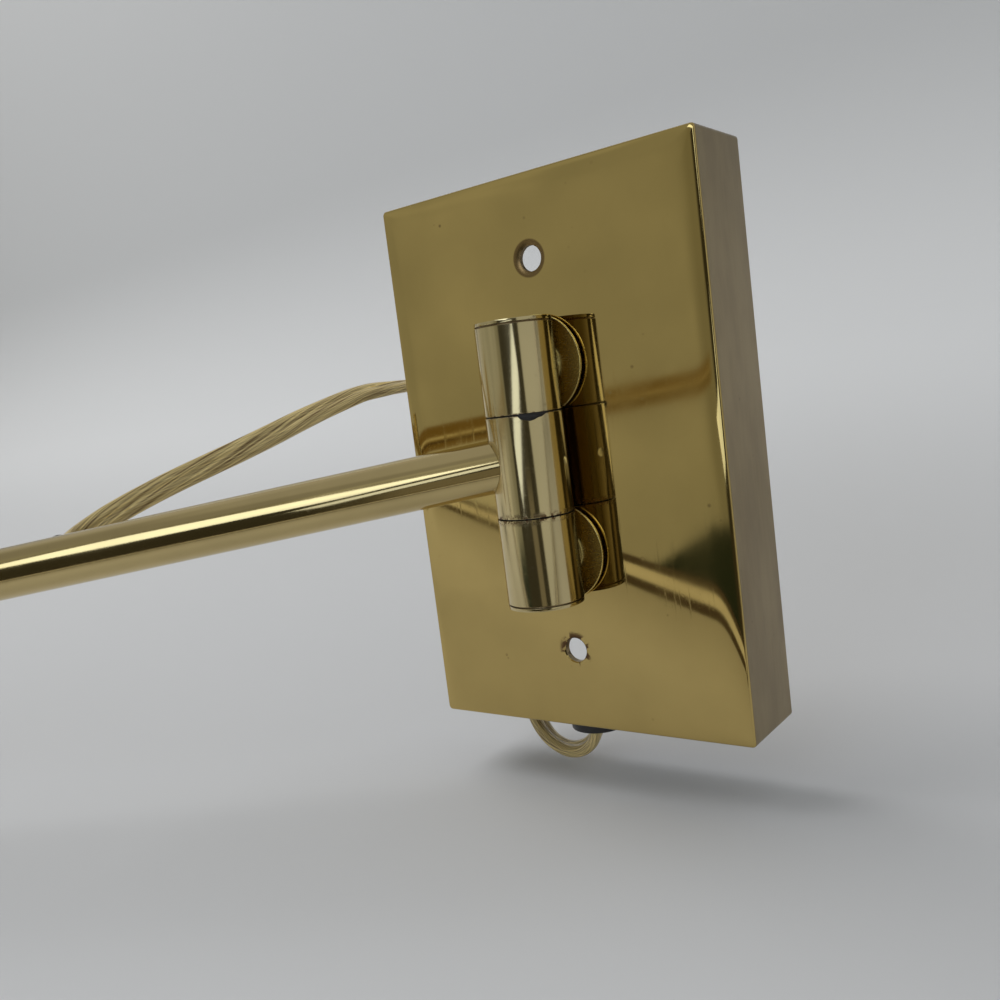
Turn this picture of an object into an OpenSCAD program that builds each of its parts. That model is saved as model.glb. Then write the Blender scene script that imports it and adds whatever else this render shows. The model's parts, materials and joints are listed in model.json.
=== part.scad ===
// Swing arm wall lamp in polished brass.
// The wall is the plane Y = 0, the room lies towards -Y, and the origin is the
// middle of the wall plate on the wall. All sizes are in millimetres.

/* [Wall plate] */
// Width of the wall plate
plate_w = 78; // [70:1:110]
// Height of the wall plate
plate_h = 118; // [106:1:150]
// Depth from the wall to the face of the plate
plate_d = 19.5; // [18:0.5:26]
// Sheet thickness of the wall plate
plate_t = 1.6; // [1.2:0.1:2.4]
// Rounding of the edges of the face
plate_edge_r = 1.2; // [0.5:0.1:2]
// Rounding of the four corners seen from the front
plate_corner_r = 0.8; // [0.4:0.1:3]
// Spacing of the two wall screws
screw_spacing = 83.34; // [78:0.01:90]
// Diameter of the wall screw holes
screw_hole_d = 5.3; // [4:0.1:6.4]
// Diameter of the countersinks
screw_sink_d = 7.6; // [7:0.1:9]
// Depth of the countersinks
screw_sink_t = 0.5; // [0.2:0.1:0.8]

/* [Knuckle] */
// Diameter of every pivot barrel
barrel_d = 15.88; // [15:0.1:18]
// Height of the turning middle barrel
mid_barrel_h = 20.4; // [18:0.2:26]
// Height of each fixed end barrel, without its cap
end_barrel_h = 17.6; // [16:0.2:24]
// Thickness of the rim of an end cap
cap_t = 1; // [0.6:0.1:2]
// Height of the groove under the rim of an end cap
cap_groove = 0.3; // [0.2:0.05:0.5]
// Depth of the groove under the rim of an end cap
cap_groove_in = 0.6; // [0.3:0.1:1]
// Diameter of the peg under an end cap
cap_peg_d = 6; // [4:0.2:8]
// Length of the peg under an end cap
cap_peg_l = 2.5; // [1.5:0.1:3]
// Thickness of the friction washers
friction_t = 0.3; // [0.2:0.05:1]
// Gap between the turning barrel and the face of the plate
knuckle_gap = 0.46; // [0.4:0.02:1.2]
// Diameter of the pivot spindles
spindle_d = 10; // [8:0.2:10]
// Reach of the spindle into each end barrel
spindle_reach = 5; // [3:0.2:5.4]
// Wall of the pivot bushes
bush_t = 0.8; // [0.6:0.05:0.9]
// Diameter of the pin that locks the spindle
pin_d = 1.8; // [1.4:0.1:3]
// Bearing of the pin round the barrel
pin_turn = 11; // [-20:1:30]

/* [Studs] */
// Diameter of the mounting studs
stud_d = 6; // [4:0.2:6.4]
// Reach of a stud past the barrel's axis
stud_past = 1.5; // [0:0.1:3]
// Diameter of the stud's collar
collar_d = 10.8; // [9:0.1:12]
// Diameter of the flange discs
flange_d = 20.7; // [18:0.1:24]
// Thickness of the rim of a flange disc
flange_rim_t = 0.6; // [0.5:0.1:1]
// Diameter of the foot that holds a flange disc off the plate
flange_foot_d = 16.6; // [14:0.2:17]
// Height of the foot under a flange disc
flange_foot_t = 0.8; // [0.4:0.1:1]
// Outside diameter of the lock washers
lock_d = 11; // [9:0.2:14]
// Thickness of the lock washers
lock_t = 1; // [0.6:0.1:1.6]
// Width across flats of the stud nuts
nut_af = 10; // [9:0.5:12]
// Thickness of the stud nuts
nut_t = 4.5; // [3:0.1:6]

/* [First arm] */
// Outside diameter of the arm tubes
tube_d = 11.1; // [10:0.1:12]
// Wall of the arm tubes
tube_t = 1.2; // [0.8:0.1:1.4]
// Distance between the knuckle and elbow axes
first_arm_l = 230; // [180:5:320]
// Bearing of the first arm, 0 along +X
arm_swing = -147.5; // [-178:0.5:-2]
// Slope of the first arm below the horizontal
arm_droop = 5.5; // [0:0.5:7]
// Height of the arm's line where it meets the knuckle axis
arm_rise = 1; // [-1:0.5:2]
// Diameter of the spigots inside the tube ends
spigot_d = 8; // [6:0.2:8.2]
// Length of the spigots
spigot_l = 18; // [12:1:30]
// Distance from the knuckle axis to the cord hole in the arm
cord_hole_s = 105; // [95:1:110]
// Diameter of the cord hole in the arm
cord_hole_d = 7; // [6.8:0.1:7.4]
// Slope of the cord hole's axis above the horizontal
cord_hole_up = 18; // [10:1:20]

/* [Elbow] */
// Height of each elbow barrel, without its cap
elbow_barrel_h = 20; // [18:0.5:26]
// Turn of the second arm from the line of the first
elbow_swing = -32.5; // [-120:0.5:120]
// Floor left under the elbow spindle in the lower barrel
elbow_floor = 4; // [3.5:0.5:6]
// Thickness of the elbow retainer
retainer_t = 1; // [0.6:0.1:1.5]

/* [Second arm] */
// Distance from the elbow axis to the end of the second tube
second_arm_l = 166; // [120:2:240]
// Length of the tube held in the swivel collar
collar_grip = 10; // [8:0.5:14]
// Length of the swivel collar's chamber past the tube
collar_room = 4; // [3.6:0.2:6]
// Thickness of the swivel collar's front wall
collar_wall = 4; // [3:0.2:6]

/* [Lamp head] */
// Outside diameter of the swivel nipple
nipple_d = 8; // [7:0.2:9]
// Bore of the swivel nipple
nipple_bore = 5; // [3:0.2:5.4]
// Diameter of the nipple's flange
nipple_flange_d = 10.6; // [10:0.1:10.8]
// Thickness of the nipple's flange
nipple_flange_t = 1.6; // [1:0.1:2]
// Outside diameter of the socket cup
cup_d = 37; // [36:0.5:44]
// Length of the socket cup
cup_l = 38; // [36:0.5:48]
// Wall of the socket cup
cup_t = 1; // [0.7:0.1:1.6]
// Rounding of the socket cup's back edge
cup_round = 5; // [2:0.5:7]
// Outside diameter of the lamp socket
socket_d = 31; // [30:0.2:32]
// Reach of the lamp socket past the socket cup
socket_reach = 24; // [20:0.5:30]
// Bore of the lamp socket
socket_bore = 27.4; // [27:0.1:28]
// Depth of the bore in the lamp socket
socket_depth = 34; // [28:0.5:40]
// Wall of the threaded lamp shell
shell_t = 0.5; // [0.4:0.1:0.6]

/* [Shade] */
// Outside radius of the shade's round top
shade_r = 38; // [34:0.5:50]
// Height of the shade's straight skirts
shade_skirt = 22; // [20:0.5:32]
// Length of the shade
shade_l = 150; // [110:2:220]
// Sheet thickness of the shade
shade_t = 1; // [0.7:0.1:1.6]
// Radius of the rolled edges
bead_r = 1.3; // [1.1:0.1:2]
// Turn of the shade round the arm
shade_tilt = 0; // [-150:1:150]
// Outside diameter of the shade ring
ring_d = 39; // [36:0.5:40]
// Length of the shade ring
ring_l = 6; // [4:0.5:9]

/* [Switch] */
// Distance from the cup's back to the switch axis
switch_s = 14; // [13:0.5:15]
// Side of the square switch body
switch_w = 13; // [10:0.5:13]
// Diameter of the switch stem
stem_d = 4; // [3:0.2:5]
// Diameter of the switch bushing
switch_bush_d = 7; // [6:0.2:8]
// Diameter of the knob
knob_d = 12; // [9:0.5:15]
// Length of the knob
knob_l = 11; // [7:0.5:15]
// Number of grooves round the knob
knob_grooves = 18; // [12:1:24]

/* [Cord] */
// Width of the flat cord
cord_w = 5.6; // [4.6:0.1:6]
// Thickness of the flat cord
cord_t = 2.9; // [2.4:0.1:3.2]
// Outside diameter of one insulated lead
lead_d = 2.6; // [1.8:0.1:2.8]
// Diameter of the bushing's flange
bushing_d = 12.4; // [10:0.2:13]
// Height of the bushing's flange below the plate
bushing_t = 3; // [2:0.1:4]

/* [Fits] */
// Radial clearance of a turning fit
run_clear = 0.05; // [0.02:0.01:0.1]
// Radial clearance of a fixed fit
fix_clear = 0.03; // [0.02:0.01:0.08]
// Gap between moving faces
move_gap = 0.1; // [0.05:0.05:0.2]
// Clearance round a stud or behind a spigot
loose_clear = 0.25; // [0.2:0.05:0.4]

/* [Hidden] */
$fn = 64;

brass = "#b59a4c";
bronze = "#8a5a2b";
steel = "#c4c6c8";
black = "#1c1b1a";
gold_cord = "#b08d45";
eps = 0.01;
past = 1;

// Knuckle places
barrel_r = barrel_d / 2;
spindle_r = spindle_d / 2;
tube_r = tube_d / 2;
tube_bore_r = tube_r - tube_t;
flange_t = flange_rim_t + flange_foot_t;
axis_off = barrel_r + knuckle_gap;
axis_y = -plate_d - axis_off;
mid_top = mid_barrel_h / 2;
end_bottom = mid_top + friction_t;
end_top = end_bottom + end_barrel_h;
stud_z = end_bottom + (end_barrel_h + cap_t) / 2;
bush_r = spindle_r + run_clear + bush_t;
collar_y = bush_r + 2 * move_gap;
flat_y = axis_off - flange_t - move_gap;
nut_y = axis_off + plate_t + lock_t;
stud_end = nut_y + nut_t + past;

// First arm places
tube_start = spindle_r;
tube_end = first_arm_l / cos(arm_droop) - spindle_r;
elbow_z = arm_rise - first_arm_l * tan(arm_droop);
spigot_r = spigot_d / 2;
spigot_start = (spindle_r + loose_clear + spigot_r * sin(arm_droop)) / cos(arm_droop);
second_spigot_start = spindle_r + bush_t + 2 * loose_clear;
lead_end_gap = 2;
lead_y = lead_d / 2 + move_gap;
lead_z = -sqrt(pow(tube_bore_r - lead_d / 2 - 2 * move_gap, 2) - pow(lead_y, 2));
grommet_wall = 0.6;
grommet_in = 0.6;
grommet_lip_w = 0.4;
grommet_lip_t = 0.4;

// Elbow places, heights from the middle of the lower barrel
elbow_half = elbow_barrel_h / 2;
elbow_upper_z = elbow_barrel_h + friction_t;
elbow_spindle_bottom = -elbow_half + elbow_floor;
elbow_spindle_top = elbow_upper_z + elbow_half - cap_peg_l - retainer_t - 3 * move_gap;
retainer_stem_r = 1.5;
retainer_stem_l = 5;

// Lamp head places, measured along the second arm from the elbow axis
collar_start = second_arm_l - collar_grip;
collar_front = second_arm_l + collar_room + collar_wall;
cup_start = collar_front + friction_t;
cup_r = cup_d / 2;
cup_bore_r = cup_r - cup_t;
cup_front = cup_start + cup_l;
nipple_start = second_arm_l + collar_room - nipple_flange_t - move_gap;
nipple_nut_t = 3;
nipple_nut_af = nipple_d + 5;
nipple_tail = 4;
nipple_end = cup_start + cup_t + nipple_nut_t + nipple_tail;
socket_r = socket_d / 2;
socket_front = cup_front + socket_reach;
socket_back = nipple_end - nipple_tail + move_gap;
socket_floor = socket_front - socket_depth;
socket_floor_t = 3;
socket_boss_r = nipple_d / 2 + 3;
socket_flange_t = 3;
shell_r = socket_bore / 2 - fix_clear;
shell_start = socket_floor + 6;
shell_end = socket_front - 2;
contact_r = 5;
contact_t = 2;
contact_tip_r = 3;
shade_start = cup_front;
shade_end = shade_start + shade_l;
switch_x = cup_start + switch_s;
switch_ease = 0.6;
switch_in = sqrt(pow(cup_bore_r, 2) - pow(switch_w / 2, 2)) - switch_ease;
switch_bush_top = cup_r + 3;
switch_nut_af = switch_bush_d + 4;
switch_nut_t = 2;
stem_floor = 2;
stem_bottom = switch_in - switch_w / 2 + stem_floor;
stem_top = cup_r + 8;
knob_bottom = switch_bush_top + 3 * move_gap;
knob_groove_r = 0.8;
knob_groove_out = 0.3;
knob_head = 1;

// Cord places
bushing_lip = 1;
bushing_neck = 2.5;
bushing_x = -2.5;
bushing_y = -9.8;
cord_rear_y = -3.8;
loop_x = -25;
exit_z = 19.5;
notch_d = -cord_rear_y + cord_w / 2 + 8 * move_gap;
notch_w = cord_t + 2;
// The cord hole in the first arm: a point on the arm's line, and the way out of the hole
arm_way = [cos(arm_swing) * cos(arm_droop), sin(arm_swing) * cos(arm_droop), -sin(arm_droop)];
arm_up = [cos(arm_swing) * sin(arm_droop), sin(arm_swing) * sin(arm_droop), cos(arm_droop)];
hole_at = [0, axis_y, arm_rise] + cord_hole_s * arm_way;
hole_way = cos(cord_hole_up) * [sin(arm_swing), -cos(arm_swing), 0] + sin(cord_hole_up) * arm_up;
// The cord's route from the bushing, round the loop, up inside the plate,
// out at the left and across to the first arm
cord_route = [
    [-2.5, -9.8, -51], [-2.5, -9.8, -54], [-2.5, -9.8, -58], [-2.9, -9.6, -62], [-5, -9, -66],
    [-8.6, -8.4, -68.8], [-13.6, -7.4, -70], [-18.6, -6.4, -68.9], [-22.4, -5.2, -66.1],
    [-24.5, -4.3, -62], [-25, -3.8, -57], [-25, -3.8, -46], [-25, -3.8, -32], [-25, -3.8, -18],
    [-25, -3.8, -6], [-25, -3.8, 3], [-26.2, -3.8, 9.5], [-29.2, -3.8, 14.4],
    [-34, -3.8, 17.9], [-39.5, -3.8, 19.4], [-45, -3.8, 19.6], [-50.5, -4.6, 19.6],
    [-55.5, -7.2, 19.6], [-60, -12, 19.2], [-64, -18, 17.4], [-69, -25, 14.7],
    [-73.4, -32, 11.8], [-77.8, -39, 9], [-81.6, -46, 6.5], [-85.2, -53, 4],
    [-88.5, -60, 1.3], [-91.3, -66, -1.3], [-92.9, -70, -3.3], [-93.4, -73.4, -4.9],
    [-92.95, -76.3, -6.05], hole_at + 6.6 * hole_way, hole_at + 4.6 * hole_way];
// Direction of the cord's wide side at the two ends of its twist
cord_wide_rear = [0, 1, 0];
cord_wide_front = [0, 0.25, 1];
twist_from = 20;
twist_to = 28;
// Insulating caps over the joined leads, beside the right and lower walls
connector_mouth = 3;
connector_l = 16;
connector_r = 4.6;
connector_nose = 4;
connector_taper = 1.4;
connector_gap = 1.4;
connector_ups = [28.5, 14];
connector_rest = 2 * move_gap;
connector_x = plate_w / 2 - plate_t - connector_l - connector_gap;
connector_y = -plate_d + plate_t + connector_r + connector_rest;
connector_places = [for (up = connector_ups) [connector_x, connector_y, -plate_h / 2 + up]];
// The two leads rise from the cord's end and curve across to their connectors
lead_start = [bushing_x, bushing_y, -plate_h / 2 + 8.4];
lead_steps = [
    [[0, 1.4, 0], [0, 1.4, 1.2], [1.2, 1.2, 2.6], [4, 0.6, 3.6], [7.6, -0.4, 4.7]],
    [[0, -1.4, 0], [0, -1.4, 0.6], [1.2, -1.6, 1.2], [4.5, -2.2, 1.6], [10, -3, 2.7]]];
lead_ends = [
    [[-11.6, 1.5, -12.5], [-9, 0.3, -7.5], [-7.4, 0, -3.1], [-5, 0, -0.6], [-3, 0, 0], [0, 0, 0]],
    [[-8, 0, -1], [-5, 0, -0.1], [-3, 0, 0], [0, 0, 0]]];
lead_routes = [for (k = [0, 1]) [for (step = lead_steps[k]) lead_start + step,
                                 for (step = lead_ends[k]) connector_places[k] + step]];

function unit(v) = v / norm(v);
function along(p, i) = unit(p[min(i + 1, len(p) - 1)] - p[max(i - 1, 0)]);
function twist_at(i) = min(max((i - twist_from) / (twist_to - twist_from), 0), 1);
function cord_wide(i) = unit(cord_wide_rear * (1 - twist_at(i)) + cord_wide_front * twist_at(i));
function section(p, i, side, w, t, sides) =
    let (d = along(p, i), u = unit(side - (side * d) * d), v = cross(d, u))
    [for (k = [0 : sides - 1]) p[i] + w / 2 * cos(360 * k / sides) * u
                                    + t / 2 * sin(360 * k / sides) * v];

// Flat or round cord swept along its route
module swept(route, wide_dirs, w, t, sides) {
    rings = len(route);
    points = [for (i = [0 : rings - 1]) each section(route, i, wide_dirs[i], w, t, sides)];
    walls = [for (i = [0 : rings - 2], k = [0 : sides - 1])
             let (a = i * sides + k, b = i * sides + (k + 1) % sides)
             each [[a, a + sides, b + sides], [a, b + sides, b]]];
    first = [for (k = [1 : sides - 2]) [0, k, k + 1]];
    last = [for (k = [1 : sides - 2]) [0, k + 1, k] + (rings - 1) * sides * [1, 1, 1]];
    polyhedron(points, concat(walls, first, last));
}

// Places
module at_knuckle() { translate([0, axis_y, 0]) children(); }
module at_first_arm() { at_knuckle() rotate([0, 0, arm_swing]) children(); }
module along_first_tube() {
    at_first_arm() translate([0, 0, arm_rise]) rotate([0, arm_droop, 0]) children();
}
module at_elbow() { at_first_arm() translate([first_arm_l, 0, elbow_z]) children(); }
module at_second_arm() {
    at_elbow() translate([0, 0, elbow_upper_z]) rotate([0, 0, elbow_swing]) children();
}
module at_head() { at_second_arm() rotate([shade_tilt, 0, 0]) children(); }
module at_switch() { at_head() translate([switch_x, 0, 0]) rotate([90, 0, 0]) children(); }
module both_ends() {
    children();
    mirror([0, 0, 1]) children();
}

// Shapes that repeat
module rod_x(x0, x1, r) { translate([x0, 0, 0]) rotate([0, 90, 0]) cylinder(h = x1 - x0, r = r); }
module rod_y(y0, y1, r) { translate([0, y0, 0]) rotate([-90, 0, 0]) cylinder(h = y1 - y0, r = r); }
module ring_z(z0, z1, r_out, r_in) {
    difference() {
        translate([0, 0, z0]) cylinder(h = z1 - z0, r = r_out);
        translate([0, 0, z0 - past]) cylinder(h = z1 - z0 + 2 * past, r = r_in);
    }
}
module ring_x(x0, x1, r_out, r_in) { rotate([0, 90, 0]) ring_z(x0, x1, r_out, r_in); }
module hex_nut(af, h, hole_r) {
    difference() {
        cylinder(h = h, d = af / cos(30), $fn = 6);
        translate([0, 0, -past]) cylinder(h = h + 2 * past, r = hole_r);
    }
}
// Quarter of stock that a rounded edge takes away, running along Z
module edge_cut(r, l) {
    translate([0, 0, -l / 2]) linear_extrude(l) difference() {
        translate([-past, -past]) square(r + past);
        translate([r, r]) circle(r);
    }
}
// Upright barrel that a tube's end is coped to fit
module cope() { translate([0, 0, -barrel_d]) cylinder(h = 2 * barrel_d, r = barrel_r + fix_clear); }
// End cap of a barrel, its groove and rim above Z = 0 and its peg below
module cap() {
    translate([0, 0, cap_groove]) cylinder(h = cap_t - cap_groove, r = barrel_r - move_gap);
    cylinder(h = cap_groove + eps, r = barrel_r - cap_groove_in);
    translate([0, 0, -cap_peg_l]) cylinder(h = cap_peg_l + eps, d = cap_peg_d);
}
module cap_hole() {
    translate([0, 0, -cap_peg_l - move_gap])
        cylinder(h = cap_peg_l + move_gap + past, r = cap_peg_d / 2 + fix_clear);
}

// Pressed brass box, open to the wall
module back_plate() {
    color(brass) difference() {
        translate([-plate_w / 2, -plate_d, -plate_h / 2]) cube([plate_w, plate_d, plate_h]);
        translate([-plate_w / 2 + plate_t, -plate_d + plate_t, -plate_h / 2 + plate_t])
            cube([plate_w - 2 * plate_t, plate_d, plate_h - 2 * plate_t]);
        plate_edge_cuts();
        for (z = [-1, 1] * screw_spacing / 2) translate([0, -plate_d, z]) screw_hole();
        for (z = [-1, 1] * stud_z)
            translate([0, -plate_d, z]) rod_y(-past, plate_t + past, stud_d / 2 + loose_clear);
        translate([bushing_x, bushing_y, -plate_h / 2 - past])
            cylinder(h = plate_t + 2 * past, r = bushing_d / 2 - bushing_lip);
        cord_notches();
    }
}
module plate_edge_cuts() {
    for (sx = [0, 1]) mirror([sx, 0, 0]) {
        translate([-plate_w / 2, -plate_d, 0]) edge_cut(plate_edge_r, plate_h + 2 * past);
        for (sz = [0, 1]) mirror([0, 0, sz])
            translate([-plate_w / 2, -plate_d / 2, -plate_h / 2]) rotate([90, 0, 0])
                edge_cut(plate_corner_r, plate_d + 2 * past);
    }
    for (sz = [0, 1]) mirror([0, 0, sz])
        translate([0, -plate_d, -plate_h / 2]) rotate([0, 90, 0]) rotate([0, 0, 90])
            mirror([1, 0, 0]) edge_cut(plate_edge_r, plate_w + 2 * past);
}
module screw_hole() {
    rod_y(-past, plate_t + past, screw_hole_d / 2);
    rotate([-90, 0, 0]) translate([0, 0, -eps])
        cylinder(h = screw_sink_t + eps, d1 = screw_sink_d, d2 = screw_hole_d);
}
// Slots in the rear rim for the cord
module cord_notches() {
    translate([loop_x - notch_w / 2, -notch_d, -plate_h / 2 - past])
        cube([notch_w, notch_d + past, plate_t + 2 * past]);
    translate([-plate_w / 2 - past, -notch_d, exit_z - notch_w / 2])
        cube([plate_t + 2 * past, notch_d + past, notch_w]);
}

module flange_discs() {
    color(brass) at_knuckle() both_ends() difference() {
        translate([0, 0, stud_z]) {
            rod_y(axis_off - flange_t, axis_off - flange_foot_t, flange_d / 2);
            rod_y(axis_off - flange_foot_t - eps, axis_off, flange_foot_d / 2);
        }
        translate([0, 0, stud_z])
            rod_y(axis_off - flange_t - past, axis_off + past, stud_d / 2 + fix_clear);
        translate([-flange_d, 0, mid_top + 3 * move_gap - 2 * flange_d])
            cube(2 * flange_d);
    }
}

module mounting_studs() {
    color(steel) at_knuckle() both_ends() translate([0, 0, stud_z]) {
        rod_y(-stud_past, stud_end, stud_d / 2);
        rod_y(collar_y, axis_off - flange_t, collar_d / 2);
    }
}

module lock_washers() {
    color(steel) at_knuckle() both_ends() translate([0, 0, stud_z]) difference() {
        rod_y(axis_off + plate_t, nut_y, lock_d / 2);
        rod_y(0, nut_y + past, stud_d / 2 + fix_clear);
    }
}

module stud_nuts() {
    color(steel) at_knuckle() both_ends() translate([0, nut_y, stud_z])
        rotate([-90, 0, 0]) hex_nut(nut_af, nut_t, stud_d / 2 + fix_clear);
}

// Fixed barrel, drawn as the upper one
module end_barrel() {
    difference() {
        translate([0, 0, end_bottom]) cylinder(h = end_barrel_h, r = barrel_r);
        translate([0, 0, end_bottom - past])
            cylinder(h = past + spindle_reach + 3 * move_gap, r = bush_r + fix_clear);
        translate([-barrel_r, flat_y, 0]) cube([barrel_d, barrel_r, end_top + past]);
        translate([0, 0, stud_z]) {
            rod_y(collar_y, axis_off, collar_d / 2 + move_gap);
            rod_y(-stud_past - move_gap, axis_off, stud_d / 2 + fix_clear);
        }
        translate([0, 0, end_top]) cap_hole();
    }
}
module upper_barrel() { color(brass) at_knuckle() end_barrel(); }
module lower_barrel() { color(brass) at_knuckle() mirror([0, 0, 1]) end_barrel(); }

module barrel_caps() {
    color(brass) at_knuckle() both_ends() translate([0, 0, end_top]) difference() {
        cap();
        translate([-barrel_r, flat_y, -past]) cube([barrel_d, barrel_r, cap_t + 2 * past]);
    }
}

module pivot_bushes() {
    color(bronze) at_knuckle() both_ends()
        ring_z(end_bottom + move_gap, end_bottom + spindle_reach + 2 * move_gap, bush_r,
               spindle_r + run_clear);
}

module cord_bushing() {
    color(black) translate([bushing_x, bushing_y, -plate_h / 2]) difference() {
        union() {
            translate([0, 0, -bushing_t]) cylinder(h = bushing_t, d = bushing_d);
            translate([0, 0, -eps])
                cylinder(h = plate_t + bushing_neck, r = bushing_d / 2 - bushing_lip - fix_clear);
        }
        translate([0, 0, -bushing_t - past])
            cylinder(h = bushing_t + plate_t + bushing_neck + 2 * past,
                     r = cord_w / 2 + 3 * move_gap);
    }
}

module lamp_cord() {
    dirs = [for (i = [0 : len(cord_route) - 1]) cord_wide(i)];
    color(gold_cord) swept(cord_route, dirs, cord_w, cord_t, 10);
}

module lead_wires() {
    for (route = lead_routes)
        color(gold_cord) swept(route, [for (p = route) [0, 1, 0]], lead_d, lead_d, 8);
}

// Insulating caps over the joined leads
module wire_connectors() {
    for (place = connector_places)
        color(black) translate(place) difference() {
            union() {
                rod_x(-connector_mouth, connector_l - connector_nose, connector_r);
                translate([connector_l - connector_nose, 0, 0]) rotate([0, 90, 0])
                    cylinder(h = connector_nose, r1 = connector_r, r2 = connector_r - connector_taper);
            }
            rod_x(-connector_mouth - past, move_gap, lead_d / 2 + 2 * move_gap);
        }
}

module middle_barrel() {
    color(brass) at_first_arm() difference() {
        translate([0, 0, -mid_top]) cylinder(h = mid_barrel_h, r = barrel_r);
        translate([0, 0, -mid_top - past])
            cylinder(h = mid_barrel_h + 2 * past, r = spindle_r + fix_clear);
        translate([0, 0, arm_rise]) rotate([0, arm_droop, 0])
            rod_x(0, barrel_r + past, spigot_r + fix_clear);
        rotate([0, 0, pin_turn - arm_swing]) rod_x(0, barrel_r + past, pin_d / 2 + fix_clear);
    }
}

module pivot_spindle() {
    reach = mid_top + friction_t + spindle_reach;
    color(steel) at_first_arm() difference() {
        translate([0, 0, -reach]) cylinder(h = 2 * reach, r = spindle_r);
        rotate([0, 0, pin_turn - arm_swing]) rod_x(0, spindle_d, pin_d / 2 + fix_clear);
    }
}

module spindle_pin() {
    color(brass) at_first_arm() rotate([0, 0, pin_turn - arm_swing])
        rod_x(move_gap, barrel_r - move_gap, pin_d / 2);
}

module friction_washers() {
    color(black) at_first_arm() both_ends()
        ring_z(mid_top, end_bottom - move_gap, barrel_r - 3 * move_gap, spindle_r + fix_clear);
}

module first_spigot() {
    color(steel) along_first_tube()
        rod_x(spigot_start, spigot_start + spigot_l, spigot_r);
}

module first_arm_tube() {
    color(brass) difference() {
        along_first_tube() difference() {
            ring_x(tube_start, tube_end, tube_r, tube_bore_r);
            cord_hole_place() cylinder(h = tube_d, d = cord_hole_d);
        }
        at_knuckle() cope();
        at_elbow() cope();
    }
}
// Axis of the cord hole, on the wall side of the arm and raised a little
module cord_hole_place() {
    translate([cord_hole_s, 0, 0]) rotate([90 - cord_hole_up, 0, 0]) children();
}

module cord_grommet() {
    color(black) along_first_tube() cord_hole_place() difference() {
        union() {
            translate([0, 0, tube_bore_r - grommet_in])
                cylinder(h = tube_t + 2 * grommet_in, d = cord_hole_d - 2 * fix_clear);
            difference() {
                translate([0, 0, tube_r / 2])
                    cylinder(h = tube_r / 2 + grommet_lip_t, d = cord_hole_d + 2 * grommet_lip_w);
                rod_x(-tube_d, tube_d, tube_r + fix_clear);
            }
        }
        translate([0, 0, tube_bore_r - past])
            cylinder(h = tube_d, d = cord_hole_d - 2 * grommet_wall);
    }
}

module first_lead() {
    color(gold_cord) along_first_tube() for (s = [-1, 1]) translate([0, s * lead_y, lead_z])
        rod_x(cord_hole_s, tube_end - spigot_l - lead_end_gap, lead_d / 2);
}

module elbow_spigot() {
    far = first_arm_l / cos(arm_droop) - spigot_start;
    color(steel) along_first_tube() rod_x(far - spigot_l, far, spigot_r);
}

module elbow_lower_barrel() {
    color(brass) at_elbow() difference() {
        translate([0, 0, -elbow_half]) cylinder(h = elbow_barrel_h, r = barrel_r);
        translate([0, 0, elbow_spindle_bottom - move_gap])
            cylinder(h = elbow_barrel_h, r = spindle_r + fix_clear);
        rotate([0, arm_droop, 0]) rod_x(-barrel_r - past, 0, spigot_r + fix_clear);
        translate([0, 0, -elbow_half]) mirror([0, 0, 1]) cap_hole();
    }
}

module elbow_lower_cap() {
    color(brass) at_elbow() translate([0, 0, -elbow_half]) mirror([0, 0, 1]) cap();
}

module elbow_spindle() {
    color(steel) at_elbow() translate([0, 0, elbow_spindle_bottom]) difference() {
        cylinder(h = elbow_spindle_top - elbow_spindle_bottom, r = spindle_r);
        translate([0, 0, elbow_spindle_top - elbow_spindle_bottom - retainer_stem_l - past])
            cylinder(h = retainer_stem_l + 2 * past, r = retainer_stem_r + fix_clear);
    }
}

module elbow_retainer() {
    color(steel) at_elbow() translate([0, 0, elbow_spindle_top]) {
        cylinder(h = retainer_t, r = bush_r - 3 * move_gap);
        translate([0, 0, -retainer_stem_l]) cylinder(h = retainer_stem_l + eps, r = retainer_stem_r);
    }
}

module elbow_friction_washer() {
    color(black) at_elbow()
        ring_z(elbow_half, elbow_half + friction_t - move_gap, barrel_r - 3 * move_gap,
               spindle_r + fix_clear);
}

module elbow_upper_barrel() {
    color(brass) at_second_arm() difference() {
        translate([0, 0, -elbow_half]) cylinder(h = elbow_barrel_h, r = barrel_r);
        translate([0, 0, -elbow_half - past])
            cylinder(h = elbow_barrel_h + past - cap_peg_l - move_gap, r = bush_r + fix_clear);
        translate([0, 0, elbow_half]) cap_hole();
        rod_x(bush_r, barrel_r + past, spigot_r + fix_clear);
    }
}

module elbow_upper_cap() {
    color(brass) at_second_arm() translate([0, 0, elbow_half]) cap();
}

module elbow_bush() {
    color(bronze) at_second_arm()
        ring_z(-elbow_half + move_gap, elbow_spindle_top - elbow_upper_z - move_gap, bush_r,
               spindle_r + run_clear);
}

module second_spigot() {
    color(steel) at_second_arm()
        rod_x(second_spigot_start, second_spigot_start + spigot_l, spigot_r);
}

module second_arm_tube() {
    color(brass) at_second_arm() difference() {
        ring_x(tube_start, second_arm_l, tube_r, tube_bore_r);
        cope();
    }
}

module second_lead() {
    color(gold_cord) at_second_arm() for (s = [-1, 1]) translate([0, s * lead_y, lead_z])
        rod_x(second_spigot_start + spigot_l + lead_end_gap, second_arm_l - lead_end_gap, lead_d / 2);
}

// Turned end of the second arm, in which the lamp head swivels
module swivel_collar() {
    color(brass) at_second_arm() difference() {
        rod_x(collar_start, collar_front, barrel_r);
        rod_x(collar_start - past, second_arm_l + collar_room, tube_r + fix_clear);
        rod_x(collar_start, collar_front + past, nipple_d / 2 + run_clear);
    }
}

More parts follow.
